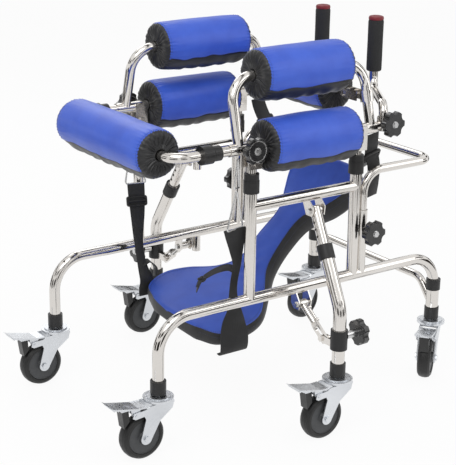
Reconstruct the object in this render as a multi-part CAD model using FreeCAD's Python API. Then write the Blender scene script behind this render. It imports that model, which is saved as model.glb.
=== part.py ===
import FreeCAD, Part
import math
import os
from FreeCAD import Placement, Rotation, Vector

# Front wheeled walker, sizes in millimetres.
# +X points to the walker's front, +Y to the user's left, +Z up.
# The origin is on the floor, under the middle of the whole object.

# ---------------------------------------------------------------- driving sizes
tube_r = 12.5            # frame tube, outside
tube_wall = 1.5
slide_gap = 0.4          # radial gap of a tube that slides in another
pin_gap = 0.05           # radial running clearance of a pin in its bore
weld_sink = 0.4          # how deep a welded tube sinks into its neighbour

side_y = 223.0           # centre plane of each side frame
rail_z = 295.0           # base rail
rear_leg_x = -341.0
front_leg_x = 433.0
rail_bend_r = 75.0
leg_end_z = 137.0        # lower ends of the legs
rear_post_x = -111.0
front_post_x = 174.0
post_top_z = 533.0
upper_rail_z = 503.0
collar_r = 17.0          # black collars of the legs and posts
collar_split_z = 560.0
collar_top_z = 575.0
cross_r = 9.5            # front cross tube and its sleeves on the legs
cross_z = 226.0
leg_sleeve_r = 15.0

sleeve_r = 12.0          # bumper sleeve
bumper_r = 9.8
bumper_gap = 0.5
sleeve_top_z = 445.0
bumper_z = 532.0
bumper_front_x = 400.0
bumper_knob_z = 400.0

arm_z = 630.0            # arm tube
arm_rear_x = -171.0
arm_front_x = 221.0
inner_post_foot_z = 385.0
saddle_bolt_z = 600.0
saddle_plate = 3.0
saddle_half = 16.0

arch_r = 11.0            # arch over each arm tube
arch_top_z = 772.0
arch_top_y = 188.0
arch_rear_x = -145.0
arch_front_x = 210.0
arch_bend_r = 54.0

cushion_rear_x = -88.0   # the four side cushions
cushion_front_x = 154.0
arm_cushion_r = 56.0
arch_cushion_r = 54.5
bore_gap = 0.3           # between a cushion and the tube in it

back_bar_x = -305.0      # back bar and its cushion
back_bend_r = 42.0
back_cushion_half = 177.0
back_cushion_r = 51.5
back_bar_tip_x = -62.0
back_knob_x = -122.0

chest_x = 200.0          # chest cushion
chest_z = 698.0
chest_half = 120.0
chest_r = 53.0
chest_end_r = 43.0
chest_bar_r = 9.0
chest_bolt_y = 150.0

socket_x = 246.0         # handle socket and handle
socket_r = 13.5
handle_r = 10.0
grip_x = 326.0
grip_y = 95.0
grip_r = 17.5
grip_low_z = 723.0
grip_top_z = 849.0
handle_turn_z = 684.0

caster_trail = 42.0      # swivel axis to axle
wheel_r = 50.0
wheel_width = 30.0
race_r = 33.0
race_top_z = 132.0
stem_r = 5.5
stem_top_z = 176.0
axle_r = 4.0
fork_plate = 3.0
fork_inner = 19.0        # half of the room between the fork plates
pedal_pin_r = 3.0
pedal_pin_back = 66.0
pedal_pin_z = 108.0
pedal_half = 20.0
pad_lean = math.radians(48)
pad_gap = 5.0            # between the brake pad and the tyre when the brake is off
fork_outline = [(26, 122), (-34, 121), (-44, 116), (-72, 114), (-75, 104), (-68, 100), (-47, 102),
                (-43, 94), (-54, 54), (-46, 40), (-32, 42), (-8, 84), (22, 106)]
pedal_outline = [(40, 119), (60, 119), (118, 132), (125, 139), (117, 135), (59, 122), (40, 122)]
tread_slope = (132 - 119) / (118 - 60)
rib_count = 6
rib_start = 74.0
rib_pitch = 8.5
caster_turn_right = 38   # how far each front caster is swivelled, in degrees
caster_turn_left = 10

foot_y = 358.0           # outrigger
leg_hinge_y = 240.0
leg_hinge_z = 472.0
knee_z = 284.0
knee_bend_r = 60.0
leg_r = 14.5              # lower tube of each outrigger leg
leg_wall = 1.6
holed_tube_r = 12.4
leg_collar_z = 396.0
leg_end_low_z = 200.0
foot_top_z = 254.0
brace_hinge_y = 235.0
brace_hinge_z = 261.0
lug_pin_y = 312.0
lug_pin_z = 206.0
hinge_bolt_r = 4.0
leg_knob_z = 222.0
clevis_half = 16.0       # middle of each bracket plate from the hinge's middle
clevis_plate = 3.0
leg_top_x = {"right": 50.0, "left": 25.0}
knee_x = {"right": 30.0, "left": 23.0}
brace_x = {"right": 26.0, "left": 24.0}
clamp_r = 18.5           # clamp round the lower end of each outrigger leg
foot_sleeve_r = 14.0
lug_gap = 4.0            # half of the room between the lug plates
lug_plate = 3.0
stub_r = 10.0            # short tubes under the left rails

knob_r = 29.0
knob_thick = 15.0
knob_bite_r = 12.0       # the hollows between the lobes
knob_bite_at = 36.0
stud_r = 4.0
stud_gap = 0.4           # between a backed-off stud and the tube it clamps

# Stations along the middle of the seat's top face: place, half width, slope along, rise to the left
# and thickness.
sling_stations = [(-154, 204, 96, 2, 4, 34), (-132, 208, 148, 4, 5, 34), (-80, 220, 160, 8, 7, 34),
                  (-20, 230, 142, 14, 7, 34), (28, 250, 92, 32, 4, 36), (66, 284, 54, 46, 0, 40),
                  (110, 334, 46, 46, 0, 44), (166, 384, 46, 40, 0, 50), (212, 418, 84, 40, 0, 54),
                  (244, 450, 108, 46, 0, 54), (266, 478, 110, 54, 0, 48), (280, 500, 92, 58, 0, 40)]
strap_wide = 38.0
strap_thick = 3.0
rear_strap = {"right": [(-139, -206, 452), (-124, -192, 396), (-112, -176, 300), (-110, -171, 240)],
              "left": [(-132, 202, 452), (-136, 188, 380), (-141, 176, 292), (-134, 172, 262)]}
front_strap = [(228, 211, 606), (242, 190, 548), (262, 140, 512), (268, 116, 497)]

tube_bore = tube_r - tube_wall
inner_r = tube_bore - slide_gap
leg_bore = leg_r - leg_wall
foot_r = leg_bore - slide_gap
sleeve_bore = bumper_r + bumper_gap
sleeve_x = front_post_x + tube_r + sleeve_r - weld_sink
X, Y, Z = Vector(1, 0, 0), Vector(0, 1, 0), Vector(0, 0, 1)
SIDES = {"right": -1, "left": 1}


# ---------------------------------------------------------------- shared shapes
def rod(r, start, end):
    """Round bar between two points."""
    start, end = Vector(*start), Vector(*end)
    return Part.makeCylinder(r, (end - start).Length, start, end - start)


def ring(r_out, r_in, start, end):
    """Round bar with a bore through it."""
    start, end = Vector(*start), Vector(*end)
    along = (end - start).normalize()
    return rod(r_out, start, end).cut(rod(r_in, start - along, end + along))


def box(low, high):
    """Block between two corners."""
    low, high = Vector(*low), Vector(*high)
    size = high - low
    return Part.makeBox(size.x, size.y, size.z, low)


def bent_rod(points, bends, r):
    """Round bar along straight runs joined by tangent arcs."""
    points = [Vector(*p) for p in points]
    edges = []
    start = points[0]
    for before, corner, after, bend in zip(points, points[1:], points[2:], bends):
        back = (before - corner).normalize()
        ahead = (after - corner).normalize()
        half = back.getAngle(ahead) / 2
        reach = bend / math.tan(half)
        middle = corner + (back + ahead).normalize() * (bend / math.sin(half) - bend)
        enter, leave = corner + back * reach, corner + ahead * reach
        edges += [Part.LineSegment(start, enter).toShape(), Part.Arc(enter, middle, leave).toShape()]
        start = leave
    edges.append(Part.LineSegment(start, points[-1]).toShape())
    section = Part.Wire(Part.makeCircle(r, points[0], points[1] - points[0]))
    return Part.Wire(edges).makePipeShell([section], True, False)


def bent_tube(points, bends, r, wall):
    """Round tube along straight runs joined by tangent arcs, open at both ends."""
    return bent_rod(points, bends, r).cut(bent_rod(points, bends, r - wall))


def prism(outline, thickness, middle_x):
    """Plate across X from (y, z) points, centred on middle_x."""
    points = [Vector(middle_x - thickness / 2, y, z) for y, z in outline]
    return Part.Face(Part.makePolygon(points + points[:1])).extrude(X * thickness)


def fuse(shapes):
    """One solid from several that touch."""
    return shapes[0].multiFuse(shapes[1:]).removeSplitter() if len(shapes) > 1 else shapes[0]


def hex_head(r, height, start, along):
    """Hexagonal nut or bolt head."""
    along = Vector(along).normalize()
    turn = Rotation(Z, along)
    corners = [Vector(r * math.cos(k * math.pi / 3), r * math.sin(k * math.pi / 3), 0) for k in range(7)]
    face = Part.Face(Part.makePolygon([turn.multVec(c) + Vector(*start) for c in corners]))
    return face.extrude(along * height)


def bolt(r, start, end):
    """Bolt with a hexagonal head at its start and a nut at its end."""
    start, end = Vector(*start), Vector(*end)
    along = (end - start).normalize()
    head = hex_head(r * 1.75, r, start - along * r, along)
    nut = hex_head(r * 1.75, r, end, along)
    return fuse([rod(r, start - along * (r / 2), end + along * (r / 2)), head, nut])


def webbing(points, width_dir, width, thick):
    """Flat strap along straight runs, its width along one direction."""
    wide = Vector(*width_dir).normalize()
    pieces = []
    for a, b in zip(points, points[1:]):
        a, b = Vector(*a), Vector(*b)
        flat = (b - a).cross(wide).normalize()
        corners = [a - wide * (width / 2), b - wide * (width / 2), b + wide * (width / 2), a + wide * (width / 2)]
        corners = [c - flat * (thick / 2) for c in corners]
        pieces.append(Part.Face(Part.makePolygon(corners + corners[:1])).extrude(flat * thick))
        pieces.append(rod(thick / 2, b - wide * (width / 2), b + wide * (width / 2)))
    return fuse(pieces[:-1])


def save(node, *shapes):
    """One STEP file for one node."""
    solids = [s for shape in shapes for s in shape.Solids]
    shape = solids[0] if len(solids) == 1 else Part.makeCompound(solids)
    shape.exportStep(f"parts/{node}.step")


# ---------------------------------------------------------------- side frames
def rail_bar(side, r, end_z):
    """Solid bar along one base rail and its two legs."""
    y = side * side_y
    rail = [(rear_leg_x, y, end_z), (rear_leg_x, y, rail_z), (front_leg_x, y, rail_z), (front_leg_x, y, end_z)]
    return bent_rod(rail, [rail_bend_r, rail_bend_r], r)


def side_frame(side, hinge_x):
    """Bent base rail with its legs, posts, upper rail, bumper sleeve and outrigger brackets, welded."""
    y = side * side_y
    outer = [rail_bar(side, tube_r, leg_end_z)]
    bores = [rail_bar(side, tube_bore, leg_end_z - 1)]
    for post_x in (rear_post_x, front_post_x):
        outer.append(rod(tube_r, (post_x, y, rail_z), (post_x, y, post_top_z)))
        bores.append(rod(tube_bore, (post_x, y, rail_z + tube_r + tube_wall), (post_x, y, post_top_z + 1)))
    outer.append(rod(tube_r, (rear_post_x, y, upper_rail_z), (front_post_x, y, upper_rail_z)))
    bores.append(rod(tube_bore, (rear_post_x + tube_r, y, upper_rail_z), (front_post_x - tube_r, y, upper_rail_z)))
    outer.append(rod(sleeve_r, (sleeve_x, y, rail_z), (sleeve_x, y, sleeve_top_z)))
    bores.append(rod(sleeve_bore, (sleeve_x, y, rail_z + tube_r + tube_wall), (sleeve_x, y, sleeve_top_z + 1)))
    bores.append(rod(stud_r + slide_gap, (sleeve_x, y, bumper_knob_z), (sleeve_x, y + side * 20, bumper_knob_z)))
    leg_clevis = [(216, upper_rail_z), (216, 490), (229, 462), (250, 462), (252, 482), (230, upper_rail_z)]
    brace_clevis = [(217, rail_z), (217, 262), (226, 251), (244, 251), (246, 268), (229, rail_z)]
    for offset in (-clevis_half, clevis_half):
        for which, outline in (("leg", leg_clevis), ("brace", brace_clevis)):
            outer.append(prism([(side * v, w) for v, w in outline], clevis_plate, hinge_x[which] + offset))
    if side > 0:
        for middle, top_z in ((hinge_x["leg"], upper_rail_z), (hinge_x["brace"], rail_z)):
            stub_x = middle + clevis_half + 17
            outer.append(rod(stub_r, (stub_x, y + 4, top_z - 50), (stub_x, y + 4, top_z)))
    frame = fuse(outer).cut(fuse(bores))
    for which, yy, zz in (("leg", leg_hinge_y, leg_hinge_z), ("brace", brace_hinge_y, brace_hinge_z)):
        middle = hinge_x[which]
        frame = frame.cut(rod(hinge_bolt_r, (middle - 20, side * yy, zz), (middle + 20, side * yy, zz)))
    return frame


# ---------------------------------------------------------------- caster
def caster_shapes():
    """Fork, wheel and pedal of one caster with its swivel axis on Z, trailing to -X."""
    axle = Vector(-caster_trail, 0, wheel_r)
    head = [ring(race_r, race_r - 7, (0, 0, 124), (0, 0, 129)), rod(race_r - 6.5, (0, 0, 121), (0, 0, race_top_z)),
            rod(stem_r, (0, 0, race_top_z - 1), (0, 0, stem_top_z)), rod(9, (0, 0, race_top_z), (0, 0, 134.5))]
    outline = [Vector(x, 0, z) for x, z in fork_outline]
    cheeks = []
    for y in (-fork_inner - fork_plate, fork_inner):
        plate = Part.Face(Part.makePolygon(outline + outline[:1])).extrude(Y * fork_plate)
        boss = rod(13, (axle.x, 0, axle.z), (axle.x, fork_plate, axle.z))
        cheek = fuse([plate, boss])
        cheek.translate(Vector(0, y, 0))
        cheeks.append(cheek)
    bridge = box((-20, -fork_inner - fork_plate, 117), (26, fork_inner + fork_plate, 122))
    side = fork_inner + fork_plate
    axle_bolt = bolt(axle_r, (axle.x, -side, axle.z), (axle.x, side, axle.z))
    pedal_pin = rod(pedal_pin_r, (-pedal_pin_back, -side - 2, pedal_pin_z), (-pedal_pin_back, side + 2, pedal_pin_z))
    fork = fuse(head + cheeks + [bridge, axle_bolt, pedal_pin])

    half = wheel_width / 2
    profile = [(axle_r + pin_gap, -16), (12, -16), (14, -12), (36, -12), (38, -half), (wheel_r - 7, -half),
               (wheel_r - 2, -half + 4), (wheel_r, -half + 11), (wheel_r, half - 11), (wheel_r - 2, half - 4),
               (wheel_r - 7, half), (38, half), (36, 12), (14, 12), (12, 16), (axle_r + pin_gap, 16)]
    points = [Vector(axle.x, y, axle.z + r) for r, y in profile]
    wheel = Part.Face(Part.makePolygon(points + points[:1])).revolve(axle, Y, 360)

    # The pedal: a ribbed tread on two ears, with the brake pad under it.
    tread = [Vector(-x, -pedal_half, z) for x, z in pedal_outline]
    plate = Part.Face(Part.makePolygon(tread + tread[:1])).extrude(Y * (2 * pedal_half))
    ribs = []
    for k in range(rib_count):
        along = rib_start + k * rib_pitch
        height = pedal_outline[1][1] + (along - pedal_outline[1][0]) * tread_slope
        ribs.append(rod(2.0, (-along, -pedal_half, height), (-along, pedal_half, height)))
    ears = []
    for y in (-fork_inner + 0.5, fork_inner - 3.0):
        eye = rod(6.5, (-pedal_pin_back, y, pedal_pin_z), (-pedal_pin_back, y + 2.5, pedal_pin_z))
        web = [Vector(x, y, z) for x, z in ((-58, 108), (-74, 108), (-78, 124), (-54, 120))]
        ears.append(eye.fuse(Part.Face(Part.makePolygon(web + web[:1])).extrude(Y * 2.5)))
    lean = Vector(-math.sin(pad_lean), 0, math.cos(pad_lean))
    face = axle + lean * (wheel_r + pad_gap)
    along = Vector(lean.z, 0, -lean.x)
    corners = [face + along * 9 - Y * 11, face - along * 9 - Y * 11]
    corners += [Vector(face.x - 13, -11, 126), Vector(face.x + 4, -11, 123)]
    pad = Part.Face(Part.makePolygon(corners + corners[:1])).extrude(Y * 22)
    pedal = fuse([plate, pad] + ribs + ears)
    pin_hole = rod(pedal_pin_r + pin_gap, (-pedal_pin_back, -30, pedal_pin_z), (-pedal_pin_back, 30, pedal_pin_z))
    return {"fork": fork, "wheel": wheel, "pedal": pedal.cut(pin_hole)}


def place_caster(name, shapes, x, y, turn):
    """Saves one caster, swivelled by turn degrees."""
    for kind, shape in shapes.items():
        copy = shape.copy()
        copy.Placement = Placement(Vector(x, y, 0), Rotation(Z, turn))
        save(f"caster_{kind}_{name}", copy)


# ---------------------------------------------------------------- knobs
def star_knob(face, outward, standoff, stud):
    """Six-lobed clamp knob: stud into the clamp, collar, head and nut, outward from a point of the clamp's face."""
    head = Part.makeCylinder(knob_r, knob_thick, Vector(0, 0, standoff))
    for k in range(6):
        angle = math.radians(60 * k + 30)
        bite = Vector(knob_bite_at * math.cos(angle), knob_bite_at * math.sin(angle), standoff - 1)
        head = head.cut(Part.makeCylinder(knob_bite_r, knob_thick + 2, bite))
    head = head.makeFillet(2.0, [e for e in head.Edges if abs(e.BoundBox.ZLength) < 0.01])
    pieces = [head, Part.makeCylinder(stud_r, stud + standoff + 1, Vector(0, 0, -stud)),
              Part.makeCylinder(8.5, standoff - 0.5, Vector(0, 0, 0.5)),
              hex_head(7, 4, (0, 0, standoff + knob_thick - 0.5), (0, 0, 1))]
    knob = fuse(pieces)
    knob.Placement = Placement(Vector(*face), Rotation(Z, Vector(*outward)))
    return knob


# ---------------------------------------------------------------- cushions
def roll(start, end, r, end_r, taper, bore):
    """Cushion around a bar: a barrel that draws in at both ends."""
    start, end = Vector(*start), Vector(*end)
    length = (end - start).Length
    outline = [(bore, 0), (end_r, 0), (r, taper), (r, length - taper), (end_r, length), (bore, length)]
    points = [Vector(rr, 0, z) for rr, z in outline]
    shape = Part.Face(Part.makePolygon(points + points[:1])).revolve(Vector(0, 0, 0), Z, 360)
    shape.Placement = Placement(start, Rotation(Z, end - start))
    return shape


# ---------------------------------------------------------------- build
os.makedirs("parts", exist_ok=True)

for name, side in SIDES.items():
    y = side * side_y
    hinge_x = {"leg": leg_top_x[name], "brace": brace_x[name]}
    save(f"side_frame_{name}", side_frame(side, hinge_x))

# Front cross tube, welded between two sleeves on the front legs.
cross = bent_rod([(front_leg_x, -side_y + 10, 180), (front_leg_x, -side_y + 47, cross_z),
                  (front_leg_x, side_y - 47, cross_z), (front_leg_x, side_y - 10, 180)], [40, 40], cross_r)
sleeves, leg_space = [], []
for s in (-1, 1):
    sleeves.append(ring(leg_sleeve_r, tube_r, (front_leg_x, s * side_y, 165), (front_leg_x, s * side_y, 207)))
    leg_space.append(rod(tube_r, (front_leg_x, s * side_y, 140), (front_leg_x, s * side_y, 240)))
save("front_cross_tube", fuse([cross] + sleeves).cut(leg_space[0]).cut(leg_space[1]))


def stem_bush(x, y):
    """Black end collar of a leg, with the bush for the caster's stem."""
    cup = rod(collar_r, (x, y, leg_end_z - 2), (x, y, 164))
    cup = cup.cut(rod(tube_r, (x, y, leg_end_z), (x, y, 165)))
    plug = rod(tube_bore, (x, y, leg_end_z), (x, y, 160))
    return fuse([cup, plug]).cut(rod(stem_r + pin_gap, (x, y, 130), (x, y, 170)))


collars = [stem_bush(x, s * side_y) for x in (rear_leg_x, front_leg_x) for s in (-1, 1)]
for s in (-1, 1):
    band = rod(collar_r, (front_leg_x, s * side_y, 208), (front_leg_x, s * side_y, 234))
    collars.append(band.cut(rail_bar(s, tube_r, leg_end_z - 1)))
save("leg_collars", *collars)

# Split collars that cap the posts and guide the inner posts.
post_collars = []
for x in (rear_post_x, front_post_x):
    for s in (-1, 1):
        body = rod(collar_r - 1, (x, s * side_y, post_top_z - 0.5), (x, s * side_y, collar_top_z))
        body = body.fuse(rod(collar_r, (x, s * side_y, post_top_z), (x, s * side_y, collar_split_z)))
        body = body.cut(rod(tube_r, (x, s * side_y, 500), (x, s * side_y, post_top_z)))
        post_collars.append(body.cut(rod(tube_bore, (x, s * side_y, 500), (x, s * side_y, 600))))
save("post_collars", *post_collars)

# Bolts of the outrigger hinges.
hinge_bolts = []
for name, side in SIDES.items():
    reach = clevis_half + clevis_plate / 2
    for x, yy, zz in ((leg_top_x[name], leg_hinge_y, leg_hinge_z), (brace_x[name], brace_hinge_y, brace_hinge_z)):
        hinge_bolts.append(bolt(hinge_bolt_r, (x - reach, side * yy, zz), (x + reach, side * yy, zz)))
save("hinge_bolts", *hinge_bolts)

# ------------------------------------------------ outriggers
for name, side in SIDES.items():
    top = (leg_top_x[name], side * leg_hinge_y, leg_hinge_z)
    knee = (knee_x[name], side * foot_y, knee_z)
    low = (knee_x[name], side * foot_y, leg_end_low_z)
    share = (leg_hinge_z - leg_collar_z) / (leg_hinge_z - knee_z)
    joint = [t + (k - t) * share for t, k in zip(top, knee)]
    along = (Vector(*knee) - Vector(*top)).normalize()
    outer = bent_tube([joint, knee, low], [knee_bend_r], leg_r, leg_wall)
    holed = rod(holed_tube_r, Vector(*top) - along * 6, Vector(*joint) + along * 60)
    for k in range(3):
        at = Vector(*top) + along * (26 + 16 * k)
        holed = holed.cut(rod(3, at - X * 20, at + X * 20))
    eye = rod(11, (top[0] - 9, top[1], top[2]), (top[0] + 9, top[1], top[2]))
    upper_collar = rod(17.5, Vector(*joint) - along * 12, Vector(*joint) + along * 20)
    leg = fuse([outer, fuse([holed, eye, upper_collar])])
    leg = leg.cut(rod(hinge_bolt_r + pin_gap, (top[0] - 30, top[1], top[2]), (top[0] + 30, top[1], top[2])))
    clamp = rod(clamp_r, (low[0], low[1], leg_end_low_z - 4), (low[0], low[1], 240))
    lugs = []
    near_y, far_y = sorted((side * 352, side * lug_pin_y))
    for x in (brace_x[name] - lug_gap - lug_plate, brace_x[name] + lug_gap):
        lug = box((x, near_y, lug_pin_z - 8), (x + lug_plate, far_y, lug_pin_z + 8))
        lugs.append(lug.fuse(rod(8, (x, side * lug_pin_y, lug_pin_z), (x + lug_plate, side * lug_pin_y, lug_pin_z))))
    lug_pin = Vector(brace_x[name], side * lug_pin_y, lug_pin_z)
    pin = bolt(hinge_bolt_r, lug_pin - X * (lug_gap + lug_plate), lug_pin + X * (lug_gap + lug_plate))
    leg = fuse([leg, clamp] + lugs + [pin])
    leg = leg.cut(rod(leg_bore, (low[0], low[1], 190), (low[0], low[1], foot_top_z + 6)))
    knob_way = 1 if name == "right" else -1
    leg = leg.cut(rod(stud_r + slide_gap, (low[0], low[1], leg_knob_z), (low[0] + knob_way * 20, low[1], leg_knob_z)))
    save(f"outrigger_leg_{name}", leg)

    knob_face = (low[0] + knob_way * clamp_r, low[1], leg_knob_z)
    stud_in = clamp_r - foot_r - stud_gap
    save(f"leg_knob_{name}", star_knob(knob_face, (knob_way, 0, 0), 30, stud_in))

    foot_bore = foot_r - tube_wall
    foot = ring(foot_r, foot_bore, (low[0], low[1], leg_end_z), (low[0], low[1], foot_top_z))
    sleeve = ring(foot_sleeve_r, foot_bore, (low[0], low[1], leg_end_z), (low[0], low[1], leg_end_low_z - 4.5))
    foot = foot.fuse(sleeve)
    bush = rod(collar_r, (low[0], low[1], leg_end_z - 2), (low[0], low[1], 164))
    foot = fuse([foot, bush]).cut(rod(stem_r + pin_gap, (low[0], low[1], 130), (low[0], low[1], 178)))
    save(f"outrigger_foot_{name}", foot)

    # Brace: a tube from the rail's bracket, a thin rod beside it and a slotted plate on the leg's pin.
    hinge = Vector(brace_x[name], side * brace_hinge_y, brace_hinge_z)
    way = (lug_pin - hinge).normalize()
    rise = X.cross(way)
    reach = (lug_pin - hinge).Length
    slot_half = hinge_bolt_r + 2.5
    slot_in = reach - 23.5
    slot_out = reach + 0.5
    brace = [rod(9, hinge - X * 9, hinge + X * 9), rod(7, hinge, hinge + way * 54)]
    brace.append(rod(2.5, hinge + way * 12 + X * 10.5, hinge + way * 50 + X * 10.5))
    brace += [rod(4, hinge + way * a, hinge + way * a + X * 14) for a in (14, 48)]
    plate = ((46, -6), (56, -11), (reach + 8, -11), (reach + 12, -5),
             (reach + 12, 5), (reach + 8, 11), (56, 11), (46, 6))
    corners = [hinge + way * a + rise * b - X * 3 for a, b in plate]
    brace.append(Part.Face(Part.makePolygon(corners + corners[:1])).extrude(X * 6))
    brace = fuse(brace).cut(rod(hinge_bolt_r + pin_gap, hinge - X * 20, hinge + X * 20))
    slot = [rod(slot_half, hinge + way * a - X * 5, hinge + way * a + X * 5) for a in (slot_in, slot_out)]
    window = ((slot_in, -slot_half), (slot_out, -slot_half), (slot_out, slot_half), (slot_in, slot_half))
    corners = [hinge + way * a + rise * b - X * 5 for a, b in window]
    slot.append(Part.Face(Part.makePolygon(corners + corners[:1])).extrude(X * 10))
    save(f"outrigger_brace_{name}", brace.cut(fuse(slot)))

# ------------------------------------------------ bumper bar
foot_z = rail_z + tube_r + tube_wall + 1
bar = [(sleeve_x, -side_y, foot_z), (sleeve_x, -side_y, bumper_z), (bumper_front_x, -side_y, bumper_z),
       (bumper_front_x, side_y, bumper_z), (sleeve_x, side_y, bumper_z), (sleeve_x, side_y, foot_z)]
save("bumper_bar", bent_tube(bar, [50, 34, 34, 50], bumper_r, tube_wall))

# ------------------------------------------------ upper frame
saddle_x = (rear_post_x, front_post_x)
for name, side in SIDES.items():
    y = side * side_y
    arm = [rod(tube_r, (arm_rear_x, y, arm_z), (arm_front_x, y, arm_z))]
    bores = [rod(tube_bore, (arm_rear_x - 1, y, arm_z), (arm_front_x - 14, y, arm_z))]
    for x in saddle_x:
        arm.append(ring(inner_r, inner_r - tube_wall, (x, y, inner_post_foot_z), (x, y, arm_z - tube_r + 1)))
        for offset in (-tube_r - saddle_plate + weld_sink, tube_r - weld_sink):
            low = (x - saddle_half, y + offset, saddle_bolt_z - 14)
            high = (x + saddle_half, y + offset + saddle_plate, arm_z + 9)
            arm.append(box(low, high))
        half = tube_r + saddle_plate
        arm.append(bolt(hinge_bolt_r, (x, y - half, saddle_bolt_z), (x, y + half, saddle_bolt_z)))
    arm.append(rod(9, (arm_front_x - 14, y, arm_z), (socket_x, y, arm_z + 4)))
    arm.append(rod(socket_r, (socket_x, y, arm_z - 10), (socket_x, y, arm_z + 20)))
    bores.append(rod(handle_r + slide_gap, (socket_x, y, arm_z - 6), (socket_x, y, arm_z + 30)))
    stud_way = side * 30
    bores.append(rod(stud_r + slide_gap, (socket_x, y, arm_z + 10), (socket_x, y + stud_way, arm_z + 10)))
    bores.append(rod(stud_r + slide_gap, (back_knob_x, y, arm_z), (back_knob_x, y + stud_way, arm_z)))
    frame = fuse(arm)
    for bore in bores:
        frame = frame.cut(bore)
    save(f"arm_frame_{name}", frame)

    arch = bent_tube([(arch_rear_x, y, arm_z), (arch_rear_x, side * arch_top_y, arch_top_z),
                      (arch_front_x, side * arch_top_y, arch_top_z), (arch_front_x, y, arm_z)],
                     [arch_bend_r, arch_bend_r], arch_r, tube_wall)
    saved = arch.cut(rod(tube_r, (arm_rear_x - 20, y, arm_z), (arm_front_x + 20, y, arm_z)))
    save(f"arch_{name}", max(saved.Solids, key=lambda s: s.Volume))

    outside = y + side * (tube_r + saddle_plate - weld_sink)
    back_stud = abs(outside - y) - inner_r - stud_gap
    save(f"back_knob_{name}", star_knob((back_knob_x, outside, arm_z), (0, side, 0), 5, back_stud))
    socket_out = y + side * socket_r
    socket_stud = socket_r - handle_r - stud_gap
    save(f"handle_knob_{name}", star_knob((socket_x, socket_out, arm_z + 10), (0, side, 0), 12, socket_stud))
    sleeve_out = y + side * sleeve_r
    sleeve_stud = sleeve_r - bumper_r - stud_gap
    save(f"bumper_knob_{name}", star_knob((sleeve_x, sleeve_out, bumper_knob_z), (0, side, 0), 22, sleeve_stud))

    save(f"arm_cushion_{name}", roll((cushion_rear_x, y, arm_z), (cushion_front_x, y, arm_z),
                                     arm_cushion_r, 40, 16, tube_r + bore_gap))
    save(f"arch_cushion_{name}", roll((cushion_rear_x, side * arch_top_y, arch_top_z),
                                      (cushion_front_x, side * arch_top_y, arch_top_z),
                                      arch_cushion_r, 38, 16, arch_r + bore_gap))

    # Handle: a stub in the socket, a run inward, then up through the foam grip.
    handle = bent_tube([(socket_x, y, arm_z - 5), (socket_x, y, handle_turn_z - 8),
                        (grip_x, side * grip_y, handle_turn_z), (grip_x, side * grip_y, grip_top_z - 6)],
                       [24, 30], handle_r, tube_wall)
    save(f"handle_bar_{name}", handle)
    grip = rod(grip_r, (grip_x, side * grip_y, grip_low_z), (grip_x, side * grip_y, grip_top_z))
    grip_bore = rod(handle_r, (grip_x, side * grip_y, 700), (grip_x, side * grip_y, grip_top_z - 6))
    save(f"handle_grip_{name}", grip.cut(grip_bore))

# Chest cushion on its bar, with fork brackets clamped to the front legs of the arches.
save("chest_cushion", roll((chest_x, -chest_half, chest_z), (chest_x, chest_half, chest_z),
                           chest_r, chest_end_r, 26, chest_bar_r + bore_gap))
chest_fittings = [rod(chest_bar_r, (chest_x, -chest_bolt_y + 8, chest_z), (chest_x, chest_bolt_y - 8, chest_z))]
for s in (-1, 1):
    lean = (side_y - arch_top_y) / (arch_top_z - arm_z)
    leg_y = side_y - lean * (chest_z - arm_z)
    low = Vector(arch_front_x, s * (leg_y + lean * 12), chest_z - 12)
    high = Vector(arch_front_x, s * (leg_y - lean * 12), chest_z + 12)
    arch_leg = rod(arch_r + pin_gap, low - Z * 20 + Y * s * 20 * lean, high + Z * 20 - Y * s * 20 * lean)
    clamp = rod(arch_r + 4, low, high).cut(arch_leg)
    near_y, far_y = sorted((s * (chest_bolt_y - 14), s * (leg_y - 11)))
    plates = []
    for offset in (-11.5, 8.5):
        plate = box((chest_x + offset, near_y, chest_z - 11), (chest_x + offset + 3, far_y, chest_z + 11))
        plates.append(plate.cut(arch_leg))
    pivot_at = Vector(chest_x, s * chest_bolt_y, chest_z)
    pivot = bolt(hinge_bolt_r, pivot_at - X * 11.5, pivot_at + X * 11.5)
    tongue = rod(8.5, pivot_at - X * 8.5, pivot_at + X * 8.5)
    chest_fittings += [clamp, pivot, tongue] + plates
save("chest_brackets", fuse(chest_fittings))

# ------------------------------------------------ back bar
back = [(back_bar_tip_x, -side_y, arm_z), (back_bar_x, -side_y, arm_z),
        (back_bar_x, side_y, arm_z), (back_bar_tip_x, side_y, arm_z)]
save("back_bar", bent_tube(back, [back_bend_r, back_bend_r], inner_r, tube_wall))
save("back_cushion", roll((back_bar_x, -back_cushion_half, arm_z), (back_bar_x, back_cushion_half, arm_z),
                          back_cushion_r, 38, 14, inner_r + bore_gap))
back_collars = []
for s in (-1, 1):
    back_collars.append(ring(16, inner_r, (-212, s * side_y, arm_z), (-194, s * side_y, arm_z)))
    back_collars.append(ring(19.5, inner_r, (-240, s * side_y, arm_z), (-215, s * side_y, arm_z)))
save("back_bar_collars", *back_collars)

# ------------------------------------------------ seat sling


def sling_section(x, z, half, slope, tilt, thick):
    """Flat oval across Y: two round ends joined by straight runs."""
    r = thick / 2
    slope, tilt = math.radians(slope), math.radians(tilt)
    up = Vector(-math.sin(slope), 0, math.cos(slope))
    across = (Y * math.cos(tilt) + up * math.sin(tilt)).normalize()
    up = (up * math.cos(tilt) - Y * math.sin(tilt)).normalize()
    middle = Vector(x, 0, z) - up * r
    a, b = middle + up * r - across * (half - r), middle + up * r + across * (half - r)
    c, d = middle - up * r + across * (half - r), middle - up * r - across * (half - r)
    return Part.Wire([Part.LineSegment(a, b).toShape(), Part.Arc(b, middle + across * half, c).toShape(),
                      Part.LineSegment(c, d).toShape(), Part.Arc(d, middle - across * half, a).toShape()])


save("seat_sling", Part.makeLoft([sling_section(*s) for s in sling_stations], True, True))

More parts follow.
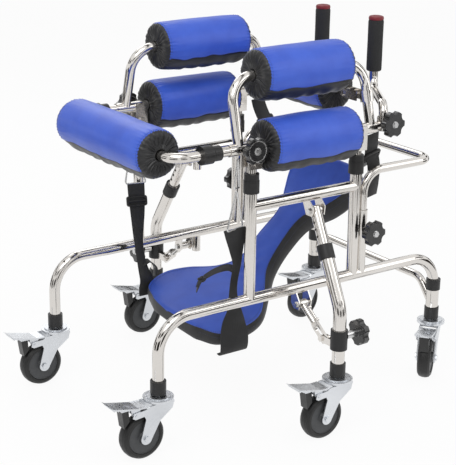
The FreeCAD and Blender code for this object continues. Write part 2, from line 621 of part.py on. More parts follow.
straps, hardware = [], []
for name, s in SIDES.items():
    # Rear: hook under the arm tube, wire link, triangle and webbing to the edge of the seat.
    straps.append(webbing(rear_strap[name], (1, -s * 0.25, 0), strap_wide, strap_thick))
    top = Vector(*rear_strap[name][0])
    hook = Vector(-146, s * side_y, arm_z - tube_r - 2.5)
    middle = (hook + top) * 0.5 + Vector(0, 0, 12)
    wide = Vector(16, -s * 4, 0)
    link = [hook, middle + wide * 0.5, middle - wide * 0.5]
    wire = [rod(2, u, v) for u, v in zip(link, link[1:] + link[:1])]
    triangle = [middle - Z * 3, top + wide * 1.35 + Z * 4, top - wide * 1.35 + Z * 4]
    wire += [rod(2, u, v) for u, v in zip(triangle, triangle[1:] + triangle[:1])]
    hardware.append(fuse(wire + [Part.makeSphere(2, v) for v in link + triangle]))
    # Front: webbing from the front end of the arm tube to the upper corners of the seat.
    straps.append(webbing([(x, s * yy, z) for x, yy, z in front_strap], (1, 0, 0.25), strap_wide, strap_thick))
    x, yy, z = [(u + v) / 2 for u, v in zip(front_strap[0], front_strap[1])]
    buckle = box((x - 24, s * yy - 6, z - 12), (x + 24, s * yy + 6, z + 12))
    hardware.append(buckle.cut(straps[-1]))
save("sling_straps", *straps)
save("sling_hardware", *hardware)

# ------------------------------------------------ casters
caster = caster_shapes()
caster_places = {"rear_right": (rear_leg_x, -side_y, 0), "rear_left": (rear_leg_x, side_y, 0),
                 "middle_right": (knee_x["right"], -foot_y, 0), "middle_left": (knee_x["left"], foot_y, 0),
                 "front_right": (front_leg_x, -side_y, caster_turn_right),
                 "front_left": (front_leg_x, side_y, caster_turn_left)}
for name, (x, y, turn) in caster_places.items():
    place_caster(name, caster, x, y, turn)
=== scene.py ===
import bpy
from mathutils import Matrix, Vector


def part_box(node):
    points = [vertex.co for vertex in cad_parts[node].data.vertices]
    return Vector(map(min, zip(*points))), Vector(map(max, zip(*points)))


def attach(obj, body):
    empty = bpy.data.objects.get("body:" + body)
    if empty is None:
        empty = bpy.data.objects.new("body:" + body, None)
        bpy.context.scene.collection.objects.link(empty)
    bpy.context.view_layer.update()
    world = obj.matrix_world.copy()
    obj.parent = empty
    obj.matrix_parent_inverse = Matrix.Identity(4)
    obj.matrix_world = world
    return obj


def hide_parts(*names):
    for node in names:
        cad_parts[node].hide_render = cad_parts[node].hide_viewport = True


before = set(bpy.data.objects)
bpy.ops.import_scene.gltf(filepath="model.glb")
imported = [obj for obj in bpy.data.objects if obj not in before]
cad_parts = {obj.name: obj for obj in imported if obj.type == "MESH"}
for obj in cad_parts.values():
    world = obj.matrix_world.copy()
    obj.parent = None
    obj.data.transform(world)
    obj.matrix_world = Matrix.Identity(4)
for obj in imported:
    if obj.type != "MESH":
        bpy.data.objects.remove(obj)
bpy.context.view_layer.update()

import math
import random

import bpy
import numpy as np
from mathutils import Matrix, Vector, noise

SIDES = {"right": -1, "left": 1}


# ------------------------------------------------------------------ stage, light and camera
# A pale floor that runs out past every view, soft lamps overhead, and dark card flags
# that only the polished tubes see, which give them their dark bands.
def node(tree, kind, settings=None, inputs=None):
    """One shader or geometry node: settings are its properties, inputs are links or values by socket."""
    made = tree.nodes.new(kind)
    for key, value in (settings or {}).items():
        setattr(made, key, value)
    for key, value in (inputs or {}).items():
        if isinstance(value, bpy.types.NodeSocket):
            tree.links.new(value, made.inputs[key])
        else:
            made.inputs[key].default_value = value
    return made


def maths(tree, operation, *values):
    """Output of one maths node over links or values."""
    return node(tree, "ShaderNodeMath", {"operation": operation}, dict(enumerate(values))).outputs[0]


def seen_directly(tree):
    """1 for camera, glossy and transmission rays, 0 for the rays that light other things."""
    path = node(tree, "ShaderNodeLightPath")
    both = maths(tree, "ADD", path.outputs["Is Camera Ray"], path.outputs["Is Glossy Ray"])
    added = {0: both, 1: path.outputs["Is Transmission Ray"]}
    return node(tree, "ShaderNodeMath", {"operation": "ADD", "use_clamp": True}, added).outputs[0]


def flat_panel(name, corners, material):
    """One flat stage panel."""
    mesh = bpy.data.meshes.new(name)
    mesh.from_pydata([tuple(c) for c in corners], [], [(0, 1, 2, 3)])
    mesh.materials.append(material)
    panel = bpy.data.objects.new(name, mesh)
    bpy.context.scene.collection.objects.link(panel)
    return panel


floor_paint = bpy.data.materials.new("floor_paint")
floor_paint.use_nodes = True
tree = floor_paint.node_tree
tree.nodes.clear()
seen_white = 0.93        # how much of the floor's look is plain white
floor_share = maths(tree, "MULTIPLY", seen_directly(tree), seen_white)
floor_diffuse = node(tree, "ShaderNodeBsdfDiffuse", None, {"Color": (0.9, 0.9, 0.9, 1)})
floor_glow = node(tree, "ShaderNodeEmission", None, {"Color": (1, 1, 1, 1), "Strength": 1.0})
floor_mix = node(tree, "ShaderNodeMixShader", None, {0: floor_share, 1: floor_diffuse.outputs[0],
                                                     2: floor_glow.outputs[0]})
node(tree, "ShaderNodeOutputMaterial", None, {"Surface": floor_mix.outputs[0]})
floor_half = 60.0
flat_panel("floor", [(-floor_half, -floor_half, 0), (floor_half, -floor_half, 0),
                     (floor_half, floor_half, 0), (-floor_half, floor_half, 0)], floor_paint)

world = bpy.data.worlds.new("studio")
world.use_nodes = True
bpy.context.scene.world = world
tree = world.node_tree
tree.nodes.clear()
room_strength = 0.62
open_strength = maths(tree, "MULTIPLY_ADD", seen_directly(tree), 1.0 - room_strength, room_strength)
room = node(tree, "ShaderNodeBackground", None, {"Color": (1, 1, 1, 1), "Strength": open_strength})
node(tree, "ShaderNodeOutputWorld", None, {"Surface": room.outputs[0]})

flag_card = bpy.data.materials.new("flag_card")
flag_card.use_nodes = True
flag_card.node_tree.nodes["Principled BSDF"].inputs["Base Color"].default_value = (0.035, 0.03, 0.027, 1)
flag_card.node_tree.nodes["Principled BSDF"].inputs["Roughness"].default_value = 0.9
flags = []
for k in range(9):
    middle = math.radians(40 * k + 12)
    spread = math.radians(12 + 3 * (k % 2))
    for distance, low, high in ((1.9, 0.0, 0.55), (2.6, 1.1, 1.7)):
        a = Vector((math.cos(middle - spread), math.sin(middle - spread), 0)) * distance
        b = Vector((math.cos(middle + spread), math.sin(middle + spread), 0)) * distance
        up = Vector((0, 0, 1))
        flags.append(flat_panel(f"flag_{k}_{int(distance * 10)}",
                                [a + up * low, b + up * low, b + up * high, a + up * high],
                                flag_card))
for k, x in enumerate((-1.5, 0.1, 1.6)):
    flags.append(flat_panel(f"flag_top_{k}",
                            [(x - 0.16, -2, 2.7), (x + 0.16, -2, 2.7), (x + 0.16, 2, 2.7),
                             (x - 0.16, 2, 2.7)],
                            flag_card))
for flag in flags:
    flag.visible_camera = False
    flag.visible_diffuse = False
    flag.visible_transmission = False
    flag.visible_shadow = False

for name, place, size, watts in (("key", (-1.6, -1.2, 2.9), 1.8, 34), ("fill", (1.8, -2.2, 1.9), 2.0, 14),
                                 ("rim", (0.6, 2.4, 2.4), 1.8, 16)):
    lamp = bpy.data.lights.new(name, "AREA")
    lamp.size = size
    lamp.energy = watts
    holder = bpy.data.objects.new(name, lamp)
    holder.location = place
    holder.rotation_euler = (Vector((0, 0, 0.4)) - Vector(place)).to_track_quat("-Z", "Y").to_euler()
    bpy.context.scene.collection.objects.link(holder)

lens = bpy.data.cameras.new("camera")
lens.lens = 103.9
lens.sensor_width = 36.0
camera = bpy.data.objects.new("camera", lens)
camera_right = Vector((0.81598, -0.57790, 0.01477))
camera_up = Vector((0.16935, 0.26340, 0.94971))
camera_back = Vector((-0.55272, -0.77244, 0.31279))
turn = Matrix((camera_right, camera_up, camera_back)).transposed()
camera.matrix_world = Matrix.Translation((-1.70848, -2.37453, 1.32703)) @ turn.to_4x4()
bpy.context.scene.collection.objects.link(camera)
bpy.context.scene.camera = camera
bpy.context.scene.view_settings.view_transform = "Standard"


# ------------------------------------------------------------------ stainless tubes
# The frame, arms, arches, bars and outriggers: bent and welded stainless tube,
# polished, with soft smears from handling.
def group_of(name, sockets_in, sockets_out):
    """Empty shader group with named inputs and outputs."""
    group = bpy.data.node_groups.new(name, "ShaderNodeTree")
    for label, kind, value in sockets_in:
        made = group.interface.new_socket(label, in_out="INPUT", socket_type="NodeSocket" + kind)
        if value is not None:
            made.default_value = value
    for label, kind in sockets_out:
        group.interface.new_socket(label, in_out="OUTPUT", socket_type="NodeSocket" + kind)
    return group, node(group, "NodeGroupInput"), node(group, "NodeGroupOutput")


def handling_group():
    """Smears and fine rub marks: a roughness between two values and a height."""
    group, inside, out = group_of("handling_marks",
                                  [("Vector", "Vector", None), ("Scale", "Float", 18.0),
                                   ("Smooth", "Float", 0.1),
                                   ("Rubbed", "Float", 0.3)], [("Roughness", "Float"), ("Height", "Float")])
    smear = node(group, "ShaderNodeTexNoise", None,
                 {"Vector": inside.outputs["Vector"], "Scale": inside.outputs["Scale"],
                                                     "Detail": 4.0, "Roughness": 0.6})
    fine_scale = maths(group, "MULTIPLY", inside.outputs["Scale"], 26.0)
    fine = node(group, "ShaderNodeTexNoise", None, {"Vector": inside.outputs["Vector"], "Scale": fine_scale,
                                                    "Detail": 2.0})
    spread = node(group, "ShaderNodeMapRange", None, {0: smear.outputs[0], 1: 0.35, 2: 0.7,
                                                      3: inside.outputs["Smooth"],
                                                      4: inside.outputs["Rubbed"]})
    group.links.new(spread.outputs[0], out.inputs["Roughness"])
    group.links.new(fine.outputs[0], out.inputs["Height"])
    return group


handling_marks = handling_group()


def new_finish(name, colour, **values):
    """Material with its Principled shader, whose own sockets take the values."""
    material = bpy.data.materials.new(name)
    material.use_nodes = True
    tree = material.node_tree
    bsdf = tree.nodes["Principled BSDF"]
    bsdf.inputs["Base Color"].default_value = (*colour, 1)
    for key, value in values.items():
        bsdf.inputs[key.replace("_", " ")].default_value = value
    place = node(tree, "ShaderNodeTexCoord").outputs["Object"]
    return material, tree, bsdf, place


def add_bump(tree, bsdf, height, strength, distance):
    """Bump from a height over the surface."""
    bump = node(tree, "ShaderNodeBump", None, {"Height": height, "Strength": strength, "Distance": distance})
    tree.links.new(bump.outputs[0], bsdf.inputs["Normal"])


def mixed(tree, factor, low, high):
    """Colour between two, each a link or three values."""
    low, high = [(*c, 1) if isinstance(c, tuple) else c for c in (low, high)]
    return node(tree, "ShaderNodeMix", {"data_type": "RGBA"}, {0: factor, 6: low, 7: high}).outputs[2]


def add_tone(tree, bsdf, factor, dark, light):
    """Base colour that wanders between two colours."""
    tree.links.new(mixed(tree, factor, dark, light), bsdf.inputs["Base Color"])


def metal(name, dark, light, smooth, rubbed, scale):
    """Bare metal with handling marks."""
    material, tree, bsdf, place = new_finish(name, light, Metallic=1.0)
    marks = node(tree, "ShaderNodeGroup", {"node_tree": handling_marks},
                 {"Vector": place, "Scale": scale, "Smooth": smooth, "Rubbed": rubbed})
    tree.links.new(marks.outputs["Roughness"], bsdf.inputs["Roughness"])
    tone = node(tree, "ShaderNodeTexNoise", None, {"Vector": place, "Scale": scale * 0.5, "Detail": 3.0})
    add_tone(tree, bsdf, tone.outputs[0], dark, light)
    add_bump(tree, bsdf, marks.outputs["Height"], 0.04, 0.0002)
    return material


def dress(material, *names):
    """Puts one material in every slot of these CAD nodes."""
    for name in names:
        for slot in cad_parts[name].material_slots:
            slot.material = material


stainless = metal("stainless_tube", (0.60, 0.57, 0.535), (0.81, 0.785, 0.755), 0.08, 0.22, 14.0)
dress(stainless, "front_cross_tube", "chest_brackets", "back_bar", "bumper_bar")
for name in SIDES:
    dress(stainless, f"side_frame_{name}", f"arm_frame_{name}", f"arch_{name}", f"handle_bar_{name}",
          f"outrigger_brace_{name}")


# ------------------------------------------------------------------ collars and hinge bolts
# Moulded black collars cap the posts and legs and guide the tubes that slide in them;
# plated hexagon bolts hold the outrigger hinges.
def moulded(name, dark, light, smooth, rubbed):
    """Moulded black plastic with a fine matt grain and dulled patches."""
    material, tree, bsdf, place = new_finish(name, light, Metallic=0.0)
    marks = node(tree, "ShaderNodeGroup", {"node_tree": handling_marks},
                 {"Vector": place, "Scale": 45.0, "Smooth": smooth, "Rubbed": rubbed})
    tree.links.new(marks.outputs["Roughness"], bsdf.inputs["Roughness"])
    tone = node(tree, "ShaderNodeTexNoise", None, {"Vector": place, "Scale": 60.0, "Detail": 4.0})
    add_tone(tree, bsdf, tone.outputs[0], dark, light)
    add_bump(tree, bsdf, marks.outputs["Height"], 0.18, 0.0003)
    return material


collar_black = moulded("collar_black", (0.006, 0.006, 0.007), (0.018, 0.017, 0.017), 0.34, 0.5)
dress(collar_black, "post_collars", "leg_collars", "back_bar_collars")
plated = metal("plated_steel", (0.55, 0.55, 0.55), (0.8, 0.8, 0.79), 0.16, 0.34, 40.0)
dress(plated, "hinge_bolts")


# ------------------------------------------------------------------ outrigger legs
# The outrigger's tubes with the black moulded parts on them: the collar where the holed tube
# enters the lower one, the clamp round the sliding foot and the bush over the caster's stem.
def turned_group():
    """Distance from an axis and place along it."""
    group, inside, out = group_of("about_an_axis", [("Vector", "Vector", None), ("Centre", "Vector", None),
                                                    ("Axis", "Vector", None)],
                                  [("Radius", "Float"), ("Along", "Float")])
    away = node(group, "ShaderNodeVectorMath", {"operation": "SUBTRACT"},
                {0: inside.outputs["Vector"], 1: inside.outputs["Centre"]})
    cross = node(group, "ShaderNodeVectorMath", {"operation": "CROSS_PRODUCT"},
                 {0: away.outputs[0], 1: inside.outputs["Axis"]})
    length = node(group, "ShaderNodeVectorMath", {"operation": "LENGTH"}, {0: cross.outputs[0]})
    dot = node(group, "ShaderNodeVectorMath", {"operation": "DOT_PRODUCT"},
               {0: away.outputs[0], 1: inside.outputs["Axis"]})
    group.links.new(length.outputs["Value"], out.inputs["Radius"])
    group.links.new(dot.outputs["Value"], out.inputs["Along"])
    return group


about_axis = turned_group()


def both_true(tree, first, second):
    """1 where both masks are 1."""
    return maths(tree, "MULTIPLY", first, second)


def between(tree, value, low, high):
    """1 where the value lies between low and high."""
    above = maths(tree, "GREATER_THAN", value, low)
    under = maths(tree, "LESS_THAN", value, high)
    return both_true(tree, above, under)


leg_top_x = {"right": 0.050, "left": 0.025}
knee_x = {"right": 0.030, "left": 0.023}
for name, side in SIDES.items():
    top = Vector((leg_top_x[name], side * 0.240, 0.472))
    knee = Vector((knee_x[name], side * 0.358, 0.284))
    joint = top.lerp(knee, (0.472 - 0.396) / (0.472 - 0.284))
    finish, tree, bsdf, place = new_finish(f"outrigger_finish_{name}", (0.7, 0.68, 0.65))
    upper = node(tree, "ShaderNodeGroup", {"node_tree": about_axis},
                 {"Vector": place, "Centre": joint, "Axis": (knee - top).normalized()})
    lower = node(tree, "ShaderNodeGroup", {"node_tree": about_axis},
                 {"Vector": place, "Centre": knee, "Axis": (0, 0, 1)})
    height = node(tree, "ShaderNodeSeparateXYZ", None, {0: place}).outputs["Z"]
    collar = both_true(tree, between(tree, upper.outputs["Along"], -0.0125, 0.0205),
                       between(tree, upper.outputs["Radius"], 0.0128, 0.019))
    clamp = both_true(tree, between(tree, height, 0.1955, 0.2405),
                      between(tree, lower.outputs["Radius"], 0.0152, 0.0187))
    bush = both_true(tree, between(tree, height, 0.134, 0.1642),
                     between(tree, lower.outputs["Radius"], 0.0, 0.0172))
    black = maths(tree, "MAXIMUM", collar, clamp)
    black = maths(tree, "MAXIMUM", black, bush)
    bare = maths(tree, "SUBTRACT", 1.0, black)
    tree.links.new(bare, bsdf.inputs["Metallic"])
    tone = node(tree, "ShaderNodeTexNoise", None, {"Vector": place, "Scale": 7.0, "Detail": 3.0})
    steel = mixed(tree, tone.outputs[0], (0.60, 0.57, 0.535), (0.81, 0.785, 0.755))
    colour = mixed(tree, black, steel, (0.012, 0.012, 0.012))
    tree.links.new(colour, bsdf.inputs["Base Color"])
    marks = node(tree, "ShaderNodeGroup", {"node_tree": handling_marks},
                 {"Vector": place, "Scale": 14.0, "Smooth": 0.08, "Rubbed": 0.22})
    dull = maths(tree, "MULTIPLY_ADD", black, 0.3, marks.outputs["Roughness"])
    tree.links.new(dull, bsdf.inputs["Roughness"])
    add_bump(tree, bsdf, marks.outputs["Height"], 0.05, 0.0002)
    dress(finish, f"outrigger_leg_{name}", f"outrigger_foot_{name}")


# ------------------------------------------------------------------ knobs
# Six-lobed clamp knobs of glossy black plastic moulded round a plated stud,
# whose hexagon end and shank show as bare metal.
def knob_finish(name, centre, axis, bare_r, ring_r):
    """Glossy black with bare metal within bare_r of the axis, and a plated ring out to ring_r."""
    material, tree, bsdf, place = new_finish(name, (0.014, 0.014, 0.015), Coat_Weight=0.3,
                                             Coat_Roughness=0.12)
    turned = node(tree, "ShaderNodeGroup", {"node_tree": about_axis},
                  {"Vector": place, "Centre": centre, "Axis": axis}).outputs["Radius"]
    bare = maths(tree, "LESS_THAN", turned, bare_r)
    rim = maths(tree, "COMPARE", turned, ring_r, 0.0012)
    shiny = maths(tree, "MAXIMUM", bare, rim)
    tree.links.new(shiny, bsdf.inputs["Metallic"])
    add_tone(tree, bsdf, shiny, (0.014, 0.014, 0.015), (0.62, 0.62, 0.62))
    marks = node(tree, "ShaderNodeGroup", {"node_tree": handling_marks},
                 {"Vector": place, "Scale": 60.0, "Smooth": 0.16, "Rubbed": 0.34})
    tree.links.new(marks.outputs["Roughness"], bsdf.inputs["Roughness"])
    add_bump(tree, bsdf, marks.outputs["Height"], 0.08, 0.0002)
    return material


for name, side in SIDES.items():
    for kind, bare_r, ring_r in (("back_knob", 0.0085, 0.0215), ("handle_knob", 0.0075, 0.0),
                                 ("bumper_knob", 0.0075, 0.0)):
        low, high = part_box(f"{kind}_{name}")
        middle = (low + high) / 2
        finish = knob_finish(f"{kind}_finish_{name}", middle, (0, 1, 0), bare_r, ring_r)
        dress(finish, f"{kind}_{name}")
    low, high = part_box(f"leg_knob_{name}")
    middle = (low + high) / 2
    dress(knob_finish(f"leg_knob_finish_{name}", middle, (1, 0, 0), 0.0086, 0.0), f"leg_knob_{name}")


# ------------------------------------------------------------------ casters
# Swivelling casters: pressed zinc-plated fork and ribbed brake pedal with a black pad,
# and a black rubber tyre on a dark grey moulded hub.
zinc = metal("zinc_plate", (0.60, 0.62, 0.65), (0.85, 0.87, 0.90), 0.26, 0.42, 34.0)
axle_back = 0.042
axle_z = 0.05
caster_at = {"rear_right": (-0.341, -0.223, 0), "rear_left": (-0.341, 0.223, 0),
             "middle_right": (0.030, -0.358, 0), "middle_left": (0.023, 0.358, 0),
             "front_right": (0.433, -0.223, 38), "front_left": (0.433, 0.223, 10)}
for name, (x, y, degrees) in caster_at.items():
    dress(zinc, f"caster_fork_{name}")
    angle = math.radians(degrees)
    axis = (-math.sin(angle), math.cos(angle), 0)
    hub = (x - axle_back * math.cos(angle), y - axle_back * math.sin(angle), axle_z)

    tyre, tree, bsdf, place = new_finish(f"tyre_{name}", (0.02, 0.02, 0.02))
    turned = node(tree, "ShaderNodeGroup", {"node_tree": about_axis},
                  {"Vector": place, "Centre": hub, "Axis": axis})
    rubber = maths(tree, "GREATER_THAN", turned.outputs["Radius"], 0.0365)
    grain = node(tree, "ShaderNodeTexNoise", None, {"Vector": place, "Scale": 90.0, "Detail": 5.0})
    hub_tone = mixed(tree, grain.outputs[0], (0.035, 0.037, 0.04), (0.085, 0.088, 0.092))
    rubber_tone = mixed(tree, grain.outputs[0], (0.005, 0.005, 0.005), (0.017, 0.017, 0.017))
    colour = mixed(tree, rubber, hub_tone, rubber_tone)
    tree.links.new(colour, bsdf.inputs["Base Color"])
    dull = node(tree, "ShaderNodeMapRange", None, {0: grain.outputs[0], 1: 0.3, 2: 0.7, 3: 0.38, 4: 0.56})
    tree.links.new(dull.outputs[0], bsdf.inputs["Roughness"])
    add_bump(tree, bsdf, grain.outputs[0], 0.2, 0.0004)
    dress(tyre, f"caster_wheel_{name}")

    pedal, tree, bsdf, place = new_finish(f"pedal_{name}", (0.6, 0.6, 0.6))
    turned = node(tree, "ShaderNodeGroup", {"node_tree": about_axis},
                  {"Vector": place, "Centre": hub, "Axis": axis})
    sideways = maths(tree, "ABSOLUTE", turned.outputs["Along"])
    inner = maths(tree, "LESS_THAN", sideways, 0.0125)
    height = node(tree, "ShaderNodeSeparateXYZ", None, {0: place})
    below = maths(tree, "LESS_THAN", height.outputs["Z"], 0.1186)
    pad = maths(tree, "MULTIPLY", inner, below)
    grain = node(tree, "ShaderNodeTexNoise", None, {"Vector": place, "Scale": 40.0, "Detail": 4.0})
    plate_tone = mixed(tree, grain.outputs[0], (0.60, 0.62, 0.65), (0.85, 0.87, 0.90))
    colour = mixed(tree, pad, plate_tone, (0.02, 0.02, 0.02))
    tree.links.new(colour, bsdf.inputs["Base Color"])
    bare = maths(tree, "SUBTRACT", 1.0, pad)
    tree.links.new(bare, bsdf.inputs["Metallic"])
    dull = node(tree, "ShaderNodeMapRange", None, {0: grain.outputs[0], 1: 0.3, 2: 0.7, 3: 0.22, 4: 0.42})
    tree.links.new(dull.outputs[0], bsdf.inputs["Roughness"])
    dress(pedal, f"caster_pedal_{name}")


# ------------------------------------------------------------------ cushions
# Foam rolls in sewn sleeves: blue nylon round the top and sides, a black panel below that opens
# to take the foam out, and black gathered ends drawn in round the tube by a cord in the hem.
def weave_group():
    """Crossed threads from a piece's own map, in metres: their height and a faint shade."""
    group, inside, out = group_of("crossed_threads",
                                  [("Vector", "Vector", None), ("Threads", "Float", 900.0)],
                                  [("Height", "Float"), ("Shade", "Float")])
    parts = node(group, "ShaderNodeSeparateXYZ", None, {0: inside.outputs["Vector"]})
    ridges = []
    for label in ("X", "Y"):
        count = maths(group, "MULTIPLY", parts.outputs[label], inside.outputs["Threads"])
        wave = maths(group, "SINE", count)
        ridges.append(maths(group, "ABSOLUTE", wave))
    top = maths(group, "MAXIMUM", ridges[0], ridges[1])
    low = maths(group, "MULTIPLY", ridges[0], ridges[1])
    group.links.new(top, out.inputs["Height"])
    group.links.new(low, out.inputs["Shade"])
    return group


crossed_threads = weave_group()


def cloth(name, dark, light, threads, roughness, depth, sheen):
    """Woven cloth: thread bump, soft patches of tone and a little sheen."""
    material, tree, bsdf, place = new_finish(name, light, Roughness=roughness, Sheen_Weight=sheen,
                                             Sheen_Roughness=0.4)
    own = node(tree, "ShaderNodeUVMap", {"uv_map": "cloth"}).outputs[0]
    weave = node(tree, "ShaderNodeGroup", {"node_tree": crossed_threads}, {"Vector": own, "Threads": threads})
    patches = node(tree, "ShaderNodeTexNoise", None,
                   {"Vector": place, "Scale": 16.0, "Detail": 5.0, "Roughness": 0.55})
    level = node(tree, "ShaderNodeMapRange", None, {0: patches.outputs[0], 1: 0.3, 2: 0.7, 3: 0.0, 4: 0.8})
    both = maths(tree, "MULTIPLY_ADD", weave.outputs["Shade"], 0.2, level.outputs[0])
    add_tone(tree, bsdf, both, dark, light)
    add_bump(tree, bsdf, weave.outputs["Height"], 0.35, depth)
    return material


blue_nylon = cloth("blue_nylon", (0.032, 0.09, 0.54), (0.052, 0.135, 0.68), 2600.0, 0.42, 0.00012, 0.12)
black_nylon = cloth("black_nylon", (0.006, 0.006, 0.007), (0.022, 0.022, 0.024), 2600.0, 0.40, 0.00012, 0.08)


def mesh_piece(name, points, faces, materials, face_slots=None, cloth_map=None, sharp=None):
    """Smooth-shaded piece at the origin; cloth_map gives each corner's place on the cloth."""
    mesh = bpy.data.meshes.new(name)
    mesh.from_pydata([tuple(p) for p in points], [], faces)
    for material in materials:
        mesh.materials.append(material)
    mesh.polygons.foreach_set("use_smooth", [True] * len(mesh.polygons))
    if face_slots is not None:
        mesh.polygons.foreach_set("material_index", face_slots)
    if cloth_map is not None:
        layer = mesh.uv_layers.new(name="cloth")
        layer.data.foreach_set("uv", np.array([uv for corners in cloth_map for uv in corners], float).ravel())
    mesh.validate()
    if sharp:
        mesh.set_sharp_from_angle(angle=math.radians(sharp))
    piece = bpy.data.objects.new(name, mesh)
    bpy.context.scene.collection.objects.link(piece)
    return piece


def strip_faces(rings, around, closed_rings=False, flip=False):
    """Quads over rings of points, each closed round itself, with their (ring, place) for a cloth map."""
    faces, cells = [], []
    for i in range(rings if closed_rings else rings - 1):
        for j in range(around):
            corners = [(i, j), (i, j + 1), (i + 1, j + 1), (i + 1, j)]
            if flip:
                corners.reverse()
            faces.append(tuple((a % rings) * around + b % around for a, b in corners))
            cells.append(corners)
    return faces, cells


def oval(centre, first, second, reach, rise, count):
    """Points round an oval in the plane of two directions."""
    turns = [2 * math.pi * k / count for k in range(count)]
    return [centre + first * (reach * math.cos(a)) + second * (rise * math.sin(a)) for a in turns]


around = 208             # points round a cushion
panel_share = 50         # of those, across the black panel
pleat_count = 27
seam_in = 0.010          # the end seam's distance from the end
thread_lift = 0.0003     # of the stitches over the cloth
pucker_height = 0.0011   # short waves beside the end seams
crease_height = 0.0012   # longer creases that run in from them
wander_height = 0.0013   # slow unevenness of the foam


def cushion(name, cad_node, body, start, end, radius, bore, seed, sag, panel_turn):
    """One sleeve over its foam, from start to end; returns its seam lines."""
    draw = random.Random(seed)
    start, end = Vector(start), Vector(end)
    length = (end - start).length
    along = (end - start).normalized()
    top = Vector((0, 0, 1)) if abs(along.z) < 0.9 else Vector((1, 0, 0))
    side = along.cross(top).normalized()
    pleats = sorted((k + draw.uniform(-0.28, 0.28)) / pleat_count * 2 * math.pi for k in range(pleat_count))
    depths = [draw.uniform(0.55, 1.0) for _ in pleats]

    # Half profile: distance in from the end, radius, how deep the pleats are.
    end_profile = [(0.009, bore, 0.0), (0.003, bore + 0.0004, 0.0), (0.0, bore + 0.0018, 0.15),
                   (0.0008, bore + 0.0045, 0.6),
                   (0.0028, bore + 0.009, 0.9), (0.0035, radius * 0.46, 1.0), (0.0030, radius * 0.57, 1.0),
                   (0.0024, radius * 0.68, 0.9), (0.0028, radius * 0.78, 0.75), (0.0046, radius * 0.86, 0.6),
                   (0.0072, radius * 0.92, 0.42), (seam_in, radius * 0.952, 0.2)]
    body_in = [0.0135, 0.018, 0.024, 0.032]
    body_r = [0.975, 0.99, 1.0, 1.004]
    middle_count = 26
    stations = list(end_profile)
    stations += [(s, radius * r, 0.1 / (k + 1)) for k, (s, r) in enumerate(zip(body_in, body_r))]
    for k in range(1, middle_count):
        share = k / middle_count
        stations.append((body_in[-1] + (length - 2 * body_in[-1]) * share,
                         radius * (1.004 + 0.018 * math.sin(math.pi * share)), 0))
    stations += [(length - s, r, fold) for s, r, fold in reversed(stations[:len(end_profile) + len(body_in)])]
    seam_rows = (len(end_profile) - 1, len(stations) - len(end_profile))

    def pleat_at(angle):
        value = 0.0
        for where, depth in zip(pleats, depths):
            off = abs((angle - where + math.pi) % (2 * math.pi) - math.pi)
            width = 0.62 * 2 * math.pi / pleat_count
            if off < width:
                value = max(value, depth * (1 - off / width) ** 1.4)
        return value

    points, maps = [], []
    for row, (s, r, fold) in enumerate(stations):
        inward = seam_rows[0] <= row <= seam_rows[1]
        wave = noise.noise(Vector((s * 28, seed * 3.1, 0)))
        even = math.pi * panel_share / around
        half = even * (1 + (0.16 * wave if inward else 0))
        from_seam = max(0.0, min(s, length - s) - seam_in)
        for j in range(around):
            if j < panel_share:
                angle = panel_turn + math.pi - half + 2 * half * j / panel_share
            else:
                angle = panel_turn + math.pi + half
                angle += (2 * math.pi - 2 * half) * (j - panel_share) / (around - panel_share)
            bend = 0.25 * (1 - r / radius) * noise.noise(Vector((angle * 2.0, seed, 4.0)))
            push = pleat_at((angle + bend) % (2 * math.pi)) * fold
            out_r, out_s = r, s
            first_half = s < length / 2
            if not inward:
                out_s += (-1 if first_half else 1) * (0.0042 * push - 0.0012 * fold)
                out_r += 0.0006 * push * (1 if r > bore + 0.003 else 0)
            else:
                shiver = 3 * noise.noise(Vector((angle, seed, 1)))
                pucker = math.exp(-from_seam / 0.007) * pucker_height * math.sin(angle * 47 + shiver)
                crease = math.exp(-from_seam / 0.030) * crease_height * noise.noise(Vector((angle * 7, s * 26,
                                                                                            seed)))
                wide = wander_height * noise.noise(Vector((angle * 1.3, s * 13, seed + 9.0)))
                out_r += pucker + crease + wide
                if j < panel_share:
                    across = math.sin(math.pi * j / panel_share)
                    ruffle = 0.5 + 0.5 * math.sin(s * 150 + 2.5 * wave)
                    out_r += across * (sag * (0.35 + 0.65 * ruffle) * min(1.0, from_seam / 0.02)) - 0.0006
                if j in (0, panel_share):
                    out_r -= 0.0016 * min(1.0, from_seam / 0.006)
            ray = top * math.cos(angle) + side * math.sin(angle)
            points.append(start + along * out_s + ray * out_r)
        maps.append(s)
    faces, cells = strip_faces(len(stations), around, closed_rings=True)
    slots, cloth_map = [], []
    for corners in cells:
        row, place = corners[0]
        blue = seam_rows[0] <= row < seam_rows[1] and place >= panel_share
        slots.append(0 if blue else 1)
        cloth_map.append([(b / around * 2 * math.pi * radius, maps[a % len(maps)]) for a, b in corners])
    piece = mesh_piece(name, points, faces, [blue_nylon, black_nylon], slots, cloth_map)
    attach(piece, body)
    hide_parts(cad_node)
    runs = [[points[row * around + j] for j in range(panel_share, around)]
            for row in (seam_rows[0] + 1, seam_rows[1] - 1)]
    runs += [[points[row * around + column] for row in range(seam_rows[0] + 1, seam_rows[1])]
             for column in (panel_share + 1, around - 1)]
    return [[p + (p - start - along * (p - start).dot(along)).normalized() * thread_lift for p in run]
            for run in runs]


